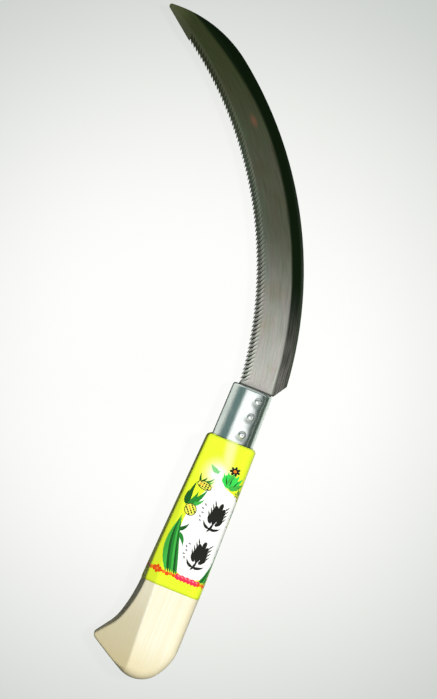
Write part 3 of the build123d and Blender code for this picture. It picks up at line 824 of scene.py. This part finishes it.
def build_film():
    """The film: one thin sheet round the grip, each triangle in the ink that is on top there."""
    draw_underside()
    draw_front()
    draw_band()
    points, faces = [], []

    def add_face(ring):
        faces.append(list(range(len(points), len(points) + len(ring))))
        points.extend(Vector(p) for p in ring)

    half = UNROLLED / 2
    straight = STRAIGHT_END - FILM_REAR_X
    rows = [FILM_REAR_X + i * straight / GRID_ALONG for i in range(GRID_ALONG + 1)]
    rows += [STRAIGHT_END + BEND * i / GRID_BEND for i in range(1, GRID_BEND + 1)]
    rows += [FILM_FRONT - FLAP / 2, FILM_FRONT]
    columns = [-half + UNROLLED * i / GRID_ROUND for i in range(GRID_ROUND + 1)]
    border = [(flat, rows[0]) for flat in columns] + [(half, t) for t in rows[1:]]
    border += [(flat, rows[-1]) for flat in reversed(columns[:-1])]
    border += [(-half, t) for t in reversed(rows[1:-1])]
    add_face(border)
    inks = ["ink_ground"]
    for ink, outline in drawing:
        ring = [(s / perimeter(x) * UNROLLED, x) for x, s in outline]
        if sum(a[0] * b[1] - b[0] * a[1] for a, b in zip(ring, ring[1:] + ring[:1])) < 0:
            ring.reverse()
        if max(p[0] for p in ring) < half and min(p[0] for p in ring) > -half:
            add_face(ring)
            inks.append(ink)
        else:  # across the seam underneath: drawn also a turn to either side, each cut at the seam
            for turn in (0.0, UNROLLED, -UNROLLED):
                piece = clip([(p[0] + turn, p[1]) for p in ring], half)
                if len(piece) > 2:
                    add_face(piece)
                    inks.append(ink)
    points.extend(Vector((flat, t)) for flat in columns[1:-1] for t in rows[1:-1])
    found = delaunay_2d_cdt(points, [], faces, 1, CDT_CLOSE, True)
    flat_points, triangles, sources = found[0], found[2], found[5]

    names = sorted(set(inks))
    mesh = bpy.data.meshes.new("printed_film")
    mesh.from_pydata([wrap(p[0], p[1]) * MM for p in flat_points], [], triangles)
    for name in names:
        mesh.materials.append(ink_material(name, INKS.get(name, GROUND)))
    for polygon, source in zip(mesh.polygons, sources):
        polygon.material_index = names.index(inks[max(source)] if source else "ink_ground")
        polygon.use_smooth = True
    sheet = bmesh.new()
    sheet.from_mesh(mesh)
    bmesh.ops.remove_doubles(sheet, verts=sheet.verts, dist=WELD_MM * MM)
    bmesh.ops.recalc_face_normals(sheet, faces=sheet.faces)
    sheet.to_mesh(mesh)
    sheet.free()
    made = bpy.data.objects.new("printed_film", mesh)
    bpy.context.scene.collection.objects.link(made)
    thick = made.modifiers.new("film_thickness", "SOLIDIFY")
    thick.thickness = FILM_THICKNESS_MM * MM
    thick.offset = -1.0
    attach(made, "root")
    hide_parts("label_sleeve")


build_film()

# ------------------------------------------------------------------ stage
FLOOR_SIZE = 12.0
floor_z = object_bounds()[0].z
bpy.ops.mesh.primitive_plane_add(size=FLOOR_SIZE, location=(0, 0, floor_z))
floor = bpy.context.object
floor.name = "floor"

TONE_CENTRE = (-1.0, 39.0)
NEAR_DARK, NEAR_PALE = (0.955, 0.96, 0.935), (0.985, 0.985, 0.965)
FAR_TONE = (0.535, 0.565, 0.535)
MIRRORED_PALE, MIRRORED_DARK = (0.62, 0.66, 0.62), (0.05, 0.075, 0.055)
# painted contact shadow, as the metal mirrors it
MIRRORED_SHADOW_LINE = (0.02, 0.03, 0.02)
SHADED_PAPER = (0.024, 0.024, 0.023)  # how much of the key light the camera sees on the paper
BOUNCE = (0.055, 0.055, 0.05)  # how much of it the paper throws back onto the object


def paper_material():
    """Pale paper, bright in the middle and darker outwards with painted light falloff.

    To the camera it glows evenly, so that the object's shadow stays faint. In the bright metal it
    shows pale on the toothed side and dark on the other, with a line of painted shadow close to the
    object.
    """
    s = new_material("paper")
    x, y, z = s.place()
    path = s.node("ShaderNodeLightPath")
    cloud = s.noise(s.combine(x, y, z), 0.004, 2.0)
    # painted light falloff: the paper darkens away from the middle
    far = s.minus(1.0, s.spot(x, y, TONE_CENTRE, 300.0, 60.0))
    near_tone = s.mix(s.ramp(cloud, 0.3, 0.7), NEAR_DARK, NEAR_PALE)
    tone = s.mix(far, near_tone, FAR_TONE)
    mirrored = s.mix(s.ramp(y, -30.0, -54.0), MIRRORED_PALE, MIRRORED_DARK)
    # painted contact shadow on the paper next to the object, seen only in the metal
    on_line = s.times(s.ramp(y, 29.0, 22.0), s.ramp(y, 0.0, 10.0))
    mirrored = s.mix(on_line, mirrored, MIRRORED_SHADOW_LINE)
    color = s.mix(path.outputs["Is Glossy Ray"], SHADED_PAPER, mirrored)
    color = s.mix(path.outputs["Is Diffuse Ray"], color, BOUNCE)
    return s.finish(Base_Color=color, Roughness=0.9, Specular_IOR_Level=0.0, Emission_Color=tone,
                    Emission_Strength=path.outputs["Is Camera Ray"])


floor.data.materials.append(paper_material())


def lamp(name, place, aim, size, power, color):
    """A square area light at place, facing aim, that isn't mirrored in the metal."""
    data = bpy.data.lights.new(name, "AREA")
    data.size = size
    data.energy = power
    data.color = color
    made = bpy.data.objects.new(name, data)
    bpy.context.scene.collection.objects.link(made)
    made.location = place
    made.rotation_mode = "QUATERNION"
    made.rotation_quaternion = (Vector(aim) - Vector(place)).to_track_quat("-Z", "Y")
    made.visible_glossy = False


lamp("key", (0.27, -0.54, 1.58), (0.02, 0.03, 0.0), 0.16, 36.5, (1.0, 1.0, 0.985))

AMBIENT = (0.050, 0.053, 0.050)
PANEL_BRIGHT, PANEL_DIM = (1.45, 1.45, 1.43), (0.34, 0.36, 0.34)
LEFT_DARK, LEFT_PALE = (0.15, 0.235, 0.22), (0.40, 0.46, 0.43)
RIGHT_PALE, RIGHT_DARK, RIGHT_LOW = (0.34, 0.37, 0.36), (0.055, 0.085, 0.065), (0.30, 0.33, 0.31)
ASIDE_TONE = (0.62, 0.65, 0.63)


def light_studio():
    """The room round the object: a bright panel overhead, mirrored in the metal, and dim sides.

    A slope is how far a ray leans from straight up, as a tangent, towards +X or towards +Y.
    What a ray sees depends on its kind: mirrored, scattered or straight from the camera.
    """
    world = bpy.data.worlds.new("studio")
    bpy.context.scene.world = world
    s = Shader(world)
    background = s.tree.nodes["Background"]
    x, y, z = s.split(s.node("ShaderNodeTexCoord").outputs["Generated"])
    up = s.math("MAXIMUM", z, 0.001)
    slope_x, slope_y = s.math("DIVIDE", x, up), s.math("DIVIDE", y, up)
    panel = s.mix(s.ramp(slope_x, 0.02, 0.22), PANEL_BRIGHT, PANEL_DIM)
    left_tone = s.mix(s.ramp(slope_y, 3.0, 9.0), LEFT_DARK, LEFT_PALE)
    right_tone = s.mix(s.ramp(slope_y, -1.2, -3.2), RIGHT_PALE, RIGHT_DARK)
    right_tone = s.mix(s.ramp(slope_y, -12.0, -30.0), right_tone, RIGHT_LOW)
    mirrored = s.mix(s.ramp(slope_y, 0.40, 0.86), panel, left_tone)
    mirrored = s.mix(s.ramp(slope_y, -0.34, -1.9), mirrored, right_tone)
    aside = s.ramp(s.math("ABSOLUTE", slope_x), 0.7, 1.4)
    mirrored = s.mix(aside, mirrored, ASIDE_TONE)
    path = s.node("ShaderNodeLightPath")
    color = s.mix(path.outputs["Is Glossy Ray"], FAR_TONE, mirrored)
    color = s.mix(path.outputs["Is Diffuse Ray"], color, AMBIENT)
    s.put(background.inputs[0], color)


light_studio()

# ------------------------------------------------------------------ camera
CAMERA_DISTANCE = 1.4
CAMERA_CENTRE_MM = (13.5, 27.1)
VIEW_HEIGHT_MM = 401.9  # how much of the table the picture's long side takes in
PICTURE_UP = (0.927, 0.375)  # the picture's upward direction, as (x, y)
camera_data = bpy.data.cameras.new("camera")
camera = bpy.data.objects.new("camera", camera_data)
bpy.context.scene.collection.objects.link(camera)
camera_data.lens = camera_data.sensor_width * CAMERA_DISTANCE / (VIEW_HEIGHT_MM * MM)
camera.location = (CAMERA_CENTRE_MM[0] * MM, CAMERA_CENTRE_MM[1] * MM, CAMERA_DISTANCE)
camera.rotation_euler = (0, 0, math.atan2(PICTURE_UP[1], PICTURE_UP[0]) - math.pi / 2)
bpy.context.scene.camera = camera
bpy.context.scene.view_settings.view_transform = "Standard"
